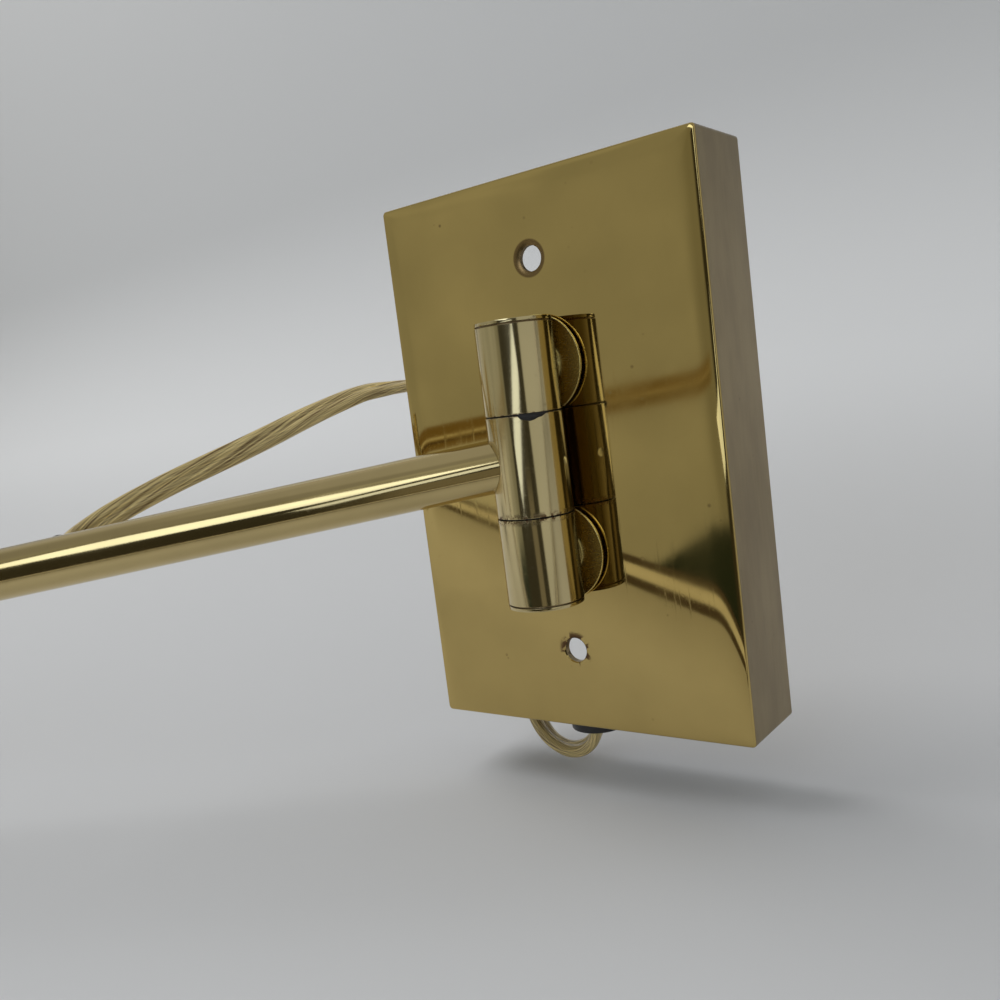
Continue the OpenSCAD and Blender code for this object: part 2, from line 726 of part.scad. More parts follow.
module swivel_nipple() {
    color(steel) at_head() difference() {
        union() {
            rod_x(nipple_start, nipple_end, nipple_d / 2);
            rod_x(nipple_start, nipple_start + nipple_flange_t, nipple_flange_d / 2);
        }
        rod_x(nipple_start - past, nipple_end + past, nipple_bore / 2);
    }
}

module swivel_washer() {
    color(black) at_head()
        ring_x(collar_front + move_gap, cup_start, barrel_r - 3 * move_gap, nipple_d / 2 + fix_clear);
}

module nipple_nut() {
    color(steel) at_head() translate([cup_start + cup_t, 0, 0]) rotate([0, 90, 0])
        hex_nut(nipple_nut_af, nipple_nut_t, nipple_d / 2 + fix_clear);
}

// Outline of a cup with a rounded back, revolved about its axis
module cup_profile(r, l, round) {
    square([r - round, l]);
    translate([0, round]) square([r, l - round]);
    translate([r - round, round]) circle(round);
}
module cup_solid(r, l, round) { rotate([0, 90, 0]) rotate_extrude() cup_half(r, l, round); }
module cup_half(r, l, round) {
    intersection() {
        cup_profile(r, l, round);
        square([r + past, l]);
    }
}
module socket_cup() {
    color(brass) at_head() difference() {
        translate([cup_start, 0, 0]) cup_solid(cup_r, cup_l, cup_round);
        translate([cup_start + cup_t, 0, 0])
            cup_solid(cup_bore_r, cup_l, cup_round - cup_t);
        rod_x(cup_start - past, cup_start + cup_t + past, nipple_d / 2 + fix_clear);
        translate([switch_x, 0, 0]) rod_y(-cup_r - past, 0, switch_bush_d / 2 + fix_clear);
    }
}

// Moulded socket body, held on the nipple by its boss
module lamp_socket() {
    color(black) at_head() difference() {
        union() {
            rod_x(socket_floor - socket_floor_t, socket_front, socket_r);
            rod_x(socket_back, socket_floor, socket_boss_r);
            rod_x(cup_front - socket_flange_t, cup_front, cup_bore_r - fix_clear);
        }
        rod_x(socket_floor, socket_front + past, socket_bore / 2);
        rod_x(socket_back - past, nipple_end + move_gap, nipple_d / 2 + fix_clear);
    }
}

module screw_shell() {
    color(brass) at_head() ring_x(shell_start, shell_end, shell_r, shell_r - shell_t);
}

module centre_contact() {
    color(brass) at_head() {
        rod_x(socket_floor, socket_floor + contact_t, contact_r);
        rod_x(socket_floor + contact_t - eps, socket_floor + 2 * contact_t, contact_tip_r);
    }
}

// Outline of the shade: a half round on straight skirts
module shade_outline(r, skirt) {
    intersection() {
        circle(r);
        translate([-r, 0]) square([2 * r, r]);
    }
    translate([-r, -skirt]) square([2 * r, skirt]);
}
module shade_prism(x0, x1, r, skirt) {
    translate([x0, 0, 0]) rotate([90, 0, 90]) linear_extrude(x1 - x0) shade_outline(r, skirt);
}
module shade() {
    color(brass) at_head() {
        difference() {
            shade_prism(shade_start, shade_end, shade_r, shade_skirt);
            shade_prism(shade_start - past, shade_end + past, shade_r - shade_t, shade_skirt + past);
        }
        for (s = [-1, 1])
            translate([0, s * (shade_r - shade_t / 2), -shade_skirt])
                rod_x(shade_start, shade_end, bead_r);
    }
}

module shade_back() {
    color(brass) at_head() difference() {
        shade_prism(shade_start, shade_start + shade_t, shade_r - shade_t - fix_clear,
                    shade_skirt - bead_r - move_gap);
        rod_x(shade_start - past, shade_start + shade_t + past, socket_r + fix_clear);
    }
}

module shade_front() {
    color(brass) at_head()
        shade_prism(shade_end - shade_t, shade_end, shade_r - shade_t - fix_clear,
                    shade_skirt - bead_r - move_gap);
}

module shade_ring() {
    color(black) at_head()
        ring_x(shade_start + shade_t, shade_start + shade_t + ring_l, ring_d / 2, socket_r + fix_clear);
}

module switch_body() {
    color(black) at_switch() {
        difference() {
            union() {
                translate([-switch_w / 2, -switch_w / 2, switch_in - switch_w / 2])
                    cube([switch_w, switch_w, switch_w / 2]);
                translate([0, 0, switch_in - eps])
                    cylinder(h = switch_bush_top - switch_in, r = switch_bush_d / 2);
            }
            translate([0, 0, stem_bottom]) cylinder(h = cup_r, r = stem_d / 2 + run_clear);
        }
    }
}

module switch_nut() {
    color(brass) at_switch() translate([0, 0, cup_r + fix_clear])
        hex_nut(switch_nut_af, switch_nut_t, switch_bush_d / 2 + fix_clear);
}

module switch_stem() {
    color(steel) at_switch() translate([0, 0, stem_bottom + move_gap])
        cylinder(h = stem_top - stem_bottom - move_gap, r = stem_d / 2);
}

module knob() {
    color(brass) at_switch() difference() {
        translate([0, 0, knob_bottom]) cylinder(h = knob_l, d = knob_d);
        translate([0, 0, knob_bottom - past])
            cylinder(h = stem_top + move_gap - knob_bottom + past, r = stem_d / 2 + fix_clear);
        for (k = [1 : knob_grooves]) rotate([0, 0, 360 * k / knob_grooves])
            translate([knob_d / 2 + knob_groove_out, 0, knob_bottom - past])
                cylinder(h = knob_l - knob_head + past, r = knob_groove_r, $fn = 16);
    }
}

back_plate();
flange_discs();
mounting_studs();
lock_washers();
stud_nuts();
upper_barrel();
lower_barrel();
barrel_caps();
pivot_bushes();
cord_bushing();
lamp_cord();
lead_wires();
wire_connectors();
middle_barrel();
pivot_spindle();
spindle_pin();
friction_washers();
first_spigot();
first_arm_tube();
cord_grommet();
first_lead();
elbow_spigot();
elbow_lower_barrel();
elbow_lower_cap();
elbow_spindle();
elbow_retainer();
elbow_friction_washer();
elbow_upper_barrel();
elbow_upper_cap();
elbow_bush();
second_spigot();
second_arm_tube();
second_lead();
swivel_collar();
swivel_nipple();
swivel_washer();
nipple_nut();
socket_cup();
lamp_socket();
screw_shell();
centre_contact();
shade();
shade_back();
shade_front();
shade_ring();
switch_body();
switch_nut();
switch_stem();
knob();
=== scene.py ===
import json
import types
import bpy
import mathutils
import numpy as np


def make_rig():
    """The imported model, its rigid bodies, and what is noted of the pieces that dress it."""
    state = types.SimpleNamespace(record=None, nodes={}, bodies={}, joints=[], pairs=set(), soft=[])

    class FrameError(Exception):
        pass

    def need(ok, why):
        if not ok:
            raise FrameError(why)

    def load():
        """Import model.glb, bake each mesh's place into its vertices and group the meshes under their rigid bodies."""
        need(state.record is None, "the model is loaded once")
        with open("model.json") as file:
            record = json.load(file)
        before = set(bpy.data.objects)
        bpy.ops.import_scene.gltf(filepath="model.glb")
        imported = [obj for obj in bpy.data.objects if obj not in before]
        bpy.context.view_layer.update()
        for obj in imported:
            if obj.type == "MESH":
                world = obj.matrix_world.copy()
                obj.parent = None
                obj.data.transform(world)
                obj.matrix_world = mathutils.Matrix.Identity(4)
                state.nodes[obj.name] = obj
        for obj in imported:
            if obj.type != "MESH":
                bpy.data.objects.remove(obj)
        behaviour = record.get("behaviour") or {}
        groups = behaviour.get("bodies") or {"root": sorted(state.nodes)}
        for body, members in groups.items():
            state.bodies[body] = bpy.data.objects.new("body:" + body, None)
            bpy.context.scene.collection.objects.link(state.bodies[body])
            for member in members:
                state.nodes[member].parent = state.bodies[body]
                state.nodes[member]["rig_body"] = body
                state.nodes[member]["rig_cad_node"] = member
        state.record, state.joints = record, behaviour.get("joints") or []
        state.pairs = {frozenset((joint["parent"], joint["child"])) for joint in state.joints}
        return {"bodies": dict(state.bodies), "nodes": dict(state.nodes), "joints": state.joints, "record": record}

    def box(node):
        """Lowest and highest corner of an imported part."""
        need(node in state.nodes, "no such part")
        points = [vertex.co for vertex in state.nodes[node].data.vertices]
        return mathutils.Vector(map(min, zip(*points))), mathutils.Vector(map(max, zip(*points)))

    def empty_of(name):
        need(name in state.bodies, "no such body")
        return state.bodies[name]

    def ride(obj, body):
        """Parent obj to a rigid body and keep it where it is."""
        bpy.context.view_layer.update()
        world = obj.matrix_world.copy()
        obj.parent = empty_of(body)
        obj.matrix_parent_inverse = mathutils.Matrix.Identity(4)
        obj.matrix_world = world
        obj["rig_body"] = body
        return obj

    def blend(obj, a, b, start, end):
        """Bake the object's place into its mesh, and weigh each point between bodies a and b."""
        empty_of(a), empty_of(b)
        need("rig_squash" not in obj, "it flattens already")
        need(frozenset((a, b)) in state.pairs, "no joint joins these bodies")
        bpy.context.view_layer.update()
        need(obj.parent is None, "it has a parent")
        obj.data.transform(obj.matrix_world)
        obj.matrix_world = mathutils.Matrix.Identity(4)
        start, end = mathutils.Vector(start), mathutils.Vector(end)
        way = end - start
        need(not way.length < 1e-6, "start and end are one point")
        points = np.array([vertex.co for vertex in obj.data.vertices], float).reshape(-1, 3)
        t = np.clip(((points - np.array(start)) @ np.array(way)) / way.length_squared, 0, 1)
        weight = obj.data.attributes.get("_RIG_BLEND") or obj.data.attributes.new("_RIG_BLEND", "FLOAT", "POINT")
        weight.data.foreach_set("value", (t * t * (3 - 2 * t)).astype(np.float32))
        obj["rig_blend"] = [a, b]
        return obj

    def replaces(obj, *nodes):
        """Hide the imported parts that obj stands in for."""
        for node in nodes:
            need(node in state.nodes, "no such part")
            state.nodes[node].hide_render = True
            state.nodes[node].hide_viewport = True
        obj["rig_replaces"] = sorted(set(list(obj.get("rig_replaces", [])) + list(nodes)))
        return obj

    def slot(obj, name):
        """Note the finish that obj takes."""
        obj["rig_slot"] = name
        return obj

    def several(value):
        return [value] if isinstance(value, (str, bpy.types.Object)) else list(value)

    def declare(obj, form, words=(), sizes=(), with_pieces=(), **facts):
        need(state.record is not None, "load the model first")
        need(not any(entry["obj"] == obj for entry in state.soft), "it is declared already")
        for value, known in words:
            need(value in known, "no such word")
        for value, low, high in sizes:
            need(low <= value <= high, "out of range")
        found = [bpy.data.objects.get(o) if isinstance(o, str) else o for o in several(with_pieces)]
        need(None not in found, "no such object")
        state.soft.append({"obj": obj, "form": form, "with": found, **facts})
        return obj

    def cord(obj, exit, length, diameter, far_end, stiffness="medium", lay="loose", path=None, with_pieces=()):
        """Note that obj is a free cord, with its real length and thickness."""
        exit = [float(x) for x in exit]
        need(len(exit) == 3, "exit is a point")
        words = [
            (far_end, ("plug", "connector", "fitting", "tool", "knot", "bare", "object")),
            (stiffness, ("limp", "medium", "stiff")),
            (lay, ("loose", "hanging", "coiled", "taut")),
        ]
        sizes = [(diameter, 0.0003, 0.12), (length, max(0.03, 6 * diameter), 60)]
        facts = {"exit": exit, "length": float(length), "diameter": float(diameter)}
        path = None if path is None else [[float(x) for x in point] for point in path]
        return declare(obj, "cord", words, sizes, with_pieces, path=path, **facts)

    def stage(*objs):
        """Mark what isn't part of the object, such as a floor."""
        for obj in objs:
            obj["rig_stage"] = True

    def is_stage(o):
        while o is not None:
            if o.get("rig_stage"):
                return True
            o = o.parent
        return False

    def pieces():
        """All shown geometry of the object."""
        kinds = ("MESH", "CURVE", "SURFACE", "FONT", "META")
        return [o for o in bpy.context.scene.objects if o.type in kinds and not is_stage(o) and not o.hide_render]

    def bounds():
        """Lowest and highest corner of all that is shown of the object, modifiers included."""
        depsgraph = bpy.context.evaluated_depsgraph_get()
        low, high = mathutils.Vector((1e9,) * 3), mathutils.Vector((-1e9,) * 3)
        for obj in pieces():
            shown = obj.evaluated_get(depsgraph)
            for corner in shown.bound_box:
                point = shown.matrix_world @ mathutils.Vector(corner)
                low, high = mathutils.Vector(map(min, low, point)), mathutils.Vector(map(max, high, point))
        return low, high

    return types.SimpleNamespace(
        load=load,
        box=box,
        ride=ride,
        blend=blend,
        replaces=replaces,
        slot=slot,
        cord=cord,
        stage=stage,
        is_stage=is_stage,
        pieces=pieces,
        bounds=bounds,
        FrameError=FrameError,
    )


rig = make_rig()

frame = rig.load()
cad_low, cad_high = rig.bounds()

import json
import math

import bmesh
import bpy
from mathutils import Matrix, Vector

# Camera.
# It stands close to the plate, to the right and a little above its middle, and is turned a few
# degrees clockwise. Its place is in the wall's own frame, and its angles are in degrees.
MM = 0.001
camera_place = Vector((115.39, -188.098, 15.513)) * MM
camera_bearing = 37.7927
camera_pitch = -6.388
camera_roll = -7.2237
camera_data = bpy.data.cameras.new("camera")
camera_data.sensor_width = 36
camera_data.lens = 34.905
camera_data.clip_start = 10 * MM
camera = bpy.data.objects.new("camera", camera_data)
camera.matrix_world = (Matrix.Translation(camera_place)
                       @ Matrix.Rotation(math.radians(camera_bearing), 4, "Z")
                       @ Matrix.Rotation(math.radians(90 + camera_pitch), 4, "X")
                       @ Matrix.Rotation(math.radians(camera_roll), 4, "Z"))
bpy.context.scene.collection.objects.link(camera)
bpy.context.scene.camera = camera


# Lamp cord.
# Clear gold flat twin flex, two bundles of copper strands in one soft sheath. It loops out of
# the lower bushing, in behind the plate, out at its left and across to the first arm's grommet.
class Wire:
    """A shader socket that adds Math nodes where it is used in a sum."""

    def __init__(self, tree, socket=None):
        self.tree = tree
        self.socket = socket

    def node(self, kind, settings=None, values=None, output=0):
        """Adds one node, its settings first, then the values or wires of its sockets."""
        made = self.tree.nodes.new("ShaderNode" + kind)
        for name, setting in (settings or {}).items():
            if name == "stops":
                for place, _ in setting[2:]:
                    made.color_ramp.elements.new(place)
                for element, (place, colour) in zip(made.color_ramp.elements, setting):
                    element.position = place
                    element.color = (*colour, 1)
            else:
                setattr(made, name, setting)
        for name, value in (values or {}).items():
            if isinstance(value, Wire):
                self.tree.links.new(value.socket, made.inputs[name])
            else:
                made.inputs[name].default_value = value
        return Wire(self.tree, made.outputs[output])

    def maths(self, operation, *values):
        return self.node("Math", {"operation": operation}, dict(enumerate(values)))

    def __add__(self, other): return self.maths("ADD", self, other)
    def __radd__(self, other): return self.maths("ADD", other, self)
    def __sub__(self, other): return self.maths("SUBTRACT", self, other)
    def __rsub__(self, other): return self.maths("SUBTRACT", other, self)
    def __mul__(self, other): return self.maths("MULTIPLY", self, other)
    def __rmul__(self, other): return self.maths("MULTIPLY", other, self)
    def __truediv__(self, other): return self.maths("DIVIDE", self, other)
    def __abs__(self): return self.maths("ABSOLUTE", self)

    def sister(self, output):
        """Another output of the same node."""
        return Wire(self.tree, self.socket.node.outputs[output])

    def rise(self, low, high):
        """0 below low, 1 above high, and a smooth step between them."""
        return self.node("MapRange", {"interpolation_type": "SMOOTHSTEP"},
                         {"Value": self, "From Min": low, "From Max": high})

    def blend(self, first, second):
        """The first colour where this wire is 0 and the second where it is 1."""
        factor, under, over, result = 0, 6, 7, 2
        return self.node("Mix", {"data_type": "RGBA"},
                         {factor: self, under: colour_of(first), over: colour_of(second)}, result)

    def sized(self, size, turn=(0, 0, 0)):
        """This place in steps of a feature's size in millimetres, along turned axes."""
        return self.node("Mapping", {"vector_type": "TEXTURE"},
                         {"Vector": self, "Scale": [n * MM for n in size],
                          "Rotation": [math.radians(n) for n in turn]})

    def cloud(self, scale, detail=3, rough=0.5):
        """Soft noise from 0 to 1 at this place."""
        return self.node("TexNoise", None, {"Vector": self, "Scale": scale, "Detail": detail,
                                            "Roughness": rough}, "Fac")


def colour_of(value):
    return value if isinstance(value, Wire) or len(value) == 4 else (*value, 1)


def new_finish(name, **constants):
    """A material, its first wire and its shader; constants are the same all over the surface."""
    material = bpy.data.materials.new(name)
    material.use_nodes = True
    shader = material.node_tree.nodes["Principled BSDF"]
    for socket, value in constants.items():
        shader.inputs[socket.replace("_", " ")].default_value = value
    return material, Wire(material.node_tree), shader


def feed(shader, **wires):
    for socket, wire in wires.items():
        wire.tree.links.new(wire.socket, shader.inputs[socket.replace("_", " ")])


def bump_of(height, strength, depth):
    return height.node("Bump", None, {"Height": height, "Strength": strength, "Distance": depth},
                       "Normal")


strand_dark = (0.13, 0.068, 0.012)
strand_glint_pale = (1.0, 0.8, 0.36)
strand_gold = (0.72, 0.49, 0.135)


def cord_finish():
    """Strands wound one way and finer glints the other, with glints painted in pale streaks; the few highest fall back
    to gold.
    """
    material, wire, shader = new_finish("clear_gold_cord", Coat_Weight=0.3, Coat_Roughness=0.14,
                                        IOR=1.4)
    run = wire.node("SeparateXYZ", None, {0: wire.node("TexCoord", output="UV")})
    turn = run.sister(1)

    def wound(along, around, slant, rough):
        """Noise drawn out along the cord: steps in a metre, steps in a turn, and the winding."""
        return wire.node("CombineXYZ", None,
                         {0: run * along, 1: turn * around + run * slant}).cloud(1.0, 2, rough)

    strands = wound(along=45, around=34, slant=260, rough=0.5)
    glints = wound(along=150, around=60, slant=-420, rough=0.6)
    streak = strands * 0.62 + glints * 0.38
    # Dark and gold strands, with their pale streaks painted as glints.
    colour = streak.node("ValToRGB", {"stops": [
        (0.36, strand_dark), (0.66, strand_glint_pale), (0.66, strand_gold)]}, {0: streak})
    feed(shader, Base_Color=colour, Roughness=0.45 - 0.2 * streak,
         Metallic=streak.rise(0.45, 0.6) * 0.3, Normal=bump_of(streak, 0.3, 0.2 * MM))
    return material


def smooth_route(points, wide_sides, step):
    """A smooth curve through the points, with the wide side's direction carried along."""
    places, sides = [], []
    ends = [2 * points[0] - points[1], *points, 2 * points[-1] - points[-2]]
    for i in range(len(points) - 1):
        a, b, c, d = ends[i:i + 4]
        count = max(2, round((c - b).length / step))
        for k in range(count):
            t = k / count
            places.append(0.5 * (2 * b + (c - a) * t + (2 * a - 5 * b + 4 * c - d) * t * t
                                 + (3 * b - a - 3 * c + d) * t ** 3))
            sides.append(wide_sides[i].lerp(wide_sides[i + 1], t))
    return [*places, points[-1]], [*sides, wide_sides[-1]]


def mesh_piece(name, vertices, faces, uvs=None):
    mesh = bpy.data.meshes.new(name)
    mesh.from_pydata(vertices, [], faces)
    if uvs:
        layer = mesh.uv_layers.new(name="lay")
        for loop in mesh.loops:
            layer.data[loop.index].uv = uvs[loop.vertex_index]
    mesh.shade_smooth()
    piece = bpy.data.objects.new(name, mesh)
    bpy.context.scene.collection.objects.link(piece)
    return piece


cord_width = 5.6 * MM
cord_thickness = 2.9 * MM
cord_step = 1.2 * MM
cord_route = [Vector(p) * MM for p in (
    (-2.5, -9.8, -51), (-2.5, -9.8, -54), (-2.5, -9.8, -58), (-2.9, -9.6, -62), (-5, -9, -66),
    (-8.6, -8.4, -68.8), (-13.6, -7.4, -70), (-18.6, -6.4, -68.9), (-22.4, -5.2, -66.1),
    (-24.5, -4.3, -62), (-25, -3.8, -57), (-25, -3.8, -46), (-25, -3.8, -32), (-25, -3.8, -18),
    (-25, -3.8, -6), (-25, -3.8, 3), (-26.2, -3.8, 9.5), (-29.2, -3.8, 14.4),
    (-34, -3.8, 17.9), (-39.5, -3.8, 19.4), (-45, -3.8, 19.6), (-50.5, -4.6, 19.6),
    (-55.5, -7.2, 19.6), (-60, -12, 19.2), (-64, -18, 17.4), (-69, -25, 14.7),
    (-73.4, -32, 11.8), (-77.8, -39, 9), (-81.6, -46, 6.5), (-85.2, -53, 4),
    (-88.5, -60, 1.3), (-91.3, -66, -1.3), (-92.9, -70, -3.3), (-93.4, -73.4, -4.9),
    (-92.95, -76.3, -6.05), (-91.684, -78.869, -7.034), (-90.612, -80.441, -7.65))]

# The flex's wide side faces one way behind the plate, another at the arm, and leans in the loop.
twist_from, twist_to = 20, 28
wide_rear = Vector((0, 1, 0))
wide_front = Vector((0, 0.25, 1))
wide_loop = Vector((-0.55, 0.835, 0))
loop_lean = {3: 0.4, 4: 0.8, 5: 1.0, 6: 1.0, 7: 0.8, 8: 0.4}
cord_turns = [min(max((i - twist_from) / (twist_to - twist_from), 0), 1)
              for i in range(len(cord_route))]
cord_wides = [wide_rear.lerp(wide_front, t).lerp(wide_loop, loop_lean.get(i, 0)).normalized()
              for i, t in enumerate(cord_turns)]
cord_line, cord_sides = smooth_route(cord_route, cord_wides, cord_step)
groove_depth = 0.34
groove_width = 0.2
lobe_fullness = 0.62


def twin_outline(angle):
    """Half width and half thickness of the flex at this angle: two round lobes and a groove."""
    across = math.cos(angle)
    groove = 1 - groove_depth * math.exp(-(across / groove_width) ** 2)
    lift = math.copysign(abs(math.sin(angle)) ** lobe_fullness, math.sin(angle))
    return across * cord_width / 2, lift * groove * cord_thickness / 2


def make_cord(name, line, sides, around=40):
    vertices, uvs, faces, run = [], [], [], 0
    for i, place in enumerate(line):
        run += (place - line[i - 1]).length if i else 0
        way = (line[min(i + 1, len(line) - 1)] - line[max(i - 1, 0)]).normalized()
        wide = (sides[i] - way * sides[i].dot(way)).normalized()
        thin = way.cross(wide)
        for k in range(around):
            across, lift = twin_outline(2 * math.pi * k / around)
            vertices.append(place + wide * across + thin * lift)
            uvs.append((run, k / around))
    for i in range(len(line) - 1):
        for k in range(around):
            a, b = i * around + k, i * around + (k + 1) % around
            faces.append((a, b, b + around, a + around))
    faces.append(tuple(range(around))[::-1])
    faces.append(tuple(range((len(line) - 1) * around, len(line) * around)))
    return mesh_piece(name, vertices, faces, uvs), run


cord, cord_length = make_cord("twin_flex", cord_line, cord_sides)
cord.data.materials.append(cord_finish())
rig.replaces(cord, "lamp_cord")
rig.slot(cord, "cord")
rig.blend(cord, "wall_plate", "first_arm", start=(-0.05, -0.004, 0), end=(-0.092, -0.078, 0))
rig.cord(cord, exit=cord_route[0], length=round(cord_length, 3), diameter=cord_width,
        far_end="object", stiffness="limp", lay="loose", path=cord_line)


# Studio.
# Plain pale paper that curves up behind the lamp, under three soft lights. Polished brass
# mirrors its surroundings, so a dim room and a table's edge are there for reflections alone.
def direction(bearing, height):
    """The way from the knuckle: bearing 0 is +X, -90 is out into the room."""
    a, e = math.radians(bearing), math.radians(height)
    return Vector((math.cos(a) * math.cos(e), math.sin(a) * math.cos(e), math.sin(e)))


room_pale = (0.46, 0.463, 0.47)
world = bpy.data.worlds.new("studio")
bpy.context.scene.world = world
world.use_nodes = True
world.node_tree.nodes["Background"].inputs["Color"].default_value = (*room_pale, 1)

room_radius = 4.0
room = bpy.data.objects.new("room", bpy.data.meshes.new("room"))
room_form = bmesh.new()
bmesh.ops.create_icosphere(room_form, subdivisions=4, radius=room_radius)
room_form.to_mesh(room.data)
room_form.free()
room.visible_camera = False
bpy.context.scene.collection.objects.link(room)
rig.stage(room)
room_material, room_wire, room_shader = new_finish("room_glow", Emission_Strength=1.0,
                                                   Base_Color=(0, 0, 0, 1), Roughness=1.0,
                                                   Specular_IOR_Level=0.0)
room_material.cycles.emission_sampling = "NONE"
room.data.materials.append(room_material)
room_way = room_wire.node("VectorMath", {"operation": "NORMALIZE"},
                          {0: room_wire.node("TexCoord", output="Object")})
room_x = room_wire.node("SeparateXYZ", None, {0: room_way})
room_y = room_x.sister(1)
bearing = room_wire.maths("ARCTAN2", room_y, room_x) * math.degrees(1)
height = room_wire.maths("ARCSINE", room_x.sister(2)) * math.degrees(1)


def band(value, low, high, soft):
    """1 between low and high, with soft edges."""
    return value.rise(low - soft, low + soft) * (1 - value.rise(high - soft, high + soft))


def patch(bearings, heights, side_soft, level_soft, level=height):
    """1 within a range of bearings and a range of heights, with soft edges."""
    return band(bearing, *bearings, side_soft) * band(level, *heights, level_soft)


front_half = (0 - room_y).rise(-0.1, 0.35)
front_clouds = front_half * room_way.cloud(4.5, 2).rise(0.42, 0.7)
dark_from = -114.5
dark_slope = 0.5
dark_line = height + dark_slope * room_wire.maths("MAXIMUM", dark_from - bearing, 0)
skirting_middle = -125
skirting_slope = 0.085
skirting_line = height - skirting_slope * (bearing - skirting_middle)
skirting = band(bearing, -152, -105, 3)
room_parts = {
    "front": ((0.33, 0.335, 0.305), front_half),
    "paler_clouds": ((0.41, 0.415, 0.38), front_clouds),
    "pale_low_left": ((0.5, 0.51, 0.48), patch((-150, -122), (-30, -2.6), 2, 0.4)),
    "dim_middle": ((0.24, 0.24, 0.2), patch((-112, -88), (-10, 50), 5, 4)),
    "dark_low_middle": ((0.022, 0.03, 0.022),
                        patch((-119, -88), (-40, -9.5), 0.6, 0.4, dark_line)),
    "dark_side": ((0.042, 0.039, 0.028), patch((-101, -43), (-45, 19), 1.5, 1.5)),
    "dark_side_foot": ((0.19, 0.175, 0.135), patch((-70, -56), (-45, -6), 2, 1)),
    "pale_right": ((0.46, 0.475, 0.47), patch((-42, 4), (-45, 50), 1.5, 4)),
    "skirting": ((0.17, 0.115, 0.037), skirting * band(skirting_line, -2.4, -0.9, 0.1)),
    "skirting_light": ((0.56, 0.52, 0.38), skirting * band(skirting_line, -1.75, -1.6, 0.06)),
    "skirting_dark": ((0.05, 0.03, 0.008), skirting * band(skirting_line, -2.0, -1.85, 0.06)),
    "below_ceiling": ((0.3, 0.3, 0.29), band(height, 45, 60, 4) * front_half),
    "ceiling": ((0.4, 0.405, 0.41), height.rise(56, 64)),
}
room_colour = colour_of(room_pale)
for colour, mask in room_parts.values():
    room_colour = mask.blend(room_colour, colour)
feed(room_shader, Emission_Color=room_colour)

floor_level = -73.5 * MM
floor_half = 3.0
sweep_start = 120 * MM
sweep_round = 260 * MM
sweep_top = 0.8
sweep_steps = 24
sweep_line = [(-floor_half, floor_level), (sweep_start, floor_level)]
for k in range(1, sweep_steps + 1):
    a = math.pi / 2 * k / sweep_steps
    sweep_line.append((sweep_start + sweep_round * math.sin(a),
                       floor_level + sweep_round * (1 - math.cos(a))))
sweep_line.append((sweep_start + sweep_round, sweep_top))
sweep_points = [(x, y, z) for y, z in sweep_line for x in (-floor_half, floor_half)]
sweep_faces = [(2 * i, 2 * i + 1, 2 * i + 3, 2 * i + 2) for i in range(len(sweep_line) - 1)]
paper_shade_grey = (0.61, 0.61, 0.61)
paper_lit_pale = (0.77, 0.77, 0.77)


def paper_finish(name, ending=None):
    """Pale paper with painted light: lighter where it curves up, darker on the flat and higher up, and not seen from
    behind or below.
    """
    material, wire, shader = new_finish(name, Roughness=0.8)
    place = wire.node("SeparateXYZ", None, {0: wire.node("TexCoord", output="Object")})
    up = place.sister(2)
    # Painted light and shade: lit where the paper curves up, darker on the flat floor and a little darker high up.
    curve = up.rise(-70 * MM, 20 * MM) * (1 - 0.55 * up.rise(40 * MM, 200 * MM))
    tone = curve.blend(paper_shade_grey, paper_lit_pale)
    seen = 1 - wire.node("NewGeometry", output="Backfacing")
    if ending:
        tone, seen = ending(place, tone, seen)
    feed(shader, Base_Color=tone, Alpha=seen)
    return material


floor_sweep = mesh_piece("floor_sweep", sweep_points, sweep_faces)
floor_sweep.data.materials.append(paper_finish("pale_paper"))
floor_sweep.visible_glossy = False
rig.stage(floor_sweep)

table_front = -165 * MM
table_slant = 0.78
table_bend = 40 * MM
table_shade_tone = (0.42, 0.41, 0.38)
table_lip = (0.72, 0.69, 0.6)
table_brown = (0.05, 0.028, 0.008)


def table_edge(place, tone, seen):
    """Paper with painted shade, darker towards a slanting edge, which has a pale lip between two brown lines."""
    reach = place.maths("MINIMUM", place, table_bend)
    from_edge = ((place.sister(1) - table_front - table_slant * reach)
                 / math.hypot(1, table_slant))
    edging = band(from_edge, -12 * MM, 8 * MM, MM) + band(from_edge, 19 * MM, 27 * MM, MM)
    # Painted shade: the paper darkens towards the table's front edge.
    front_shaded = from_edge.rise(20 * MM, 75 * MM).blend(table_shade_tone, tone)
    lipped = band(from_edge, 8 * MM, 19 * MM, MM).blend(front_shaded, table_lip)
    return edging.blend(lipped, table_brown), from_edge.rise(-MM, MM) * seen


table = mesh_piece("mirrored_table", sweep_points, sweep_faces)
table.data.materials.append(paper_finish("mirrored_paper", table_edge))
table.visible_camera = False
table.visible_diffuse = False
table.visible_shadow = False
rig.stage(table)


def soft_light(name, place, target, size, watts, colour, tilt=0.0, mirrored=True):
    """A rectangular soft box at a place, turned towards a target."""
    data = bpy.data.lights.new(name, "AREA")
    data.shape = "RECTANGLE"
    data.size, data.size_y = size
    data.energy = watts
    data.color = colour
    lamp = bpy.data.objects.new(name, data)
    turn = (target - place).to_track_quat("-Z", "Y").to_matrix().to_4x4()
    lamp.matrix_world = (Matrix.Translation(place) @ turn
                         @ Matrix.Rotation(math.radians(tilt), 4, "Z"))
    lamp.visible_camera = False
    lamp.visible_glossy = mirrored
    bpy.context.scene.collection.objects.link(lamp)


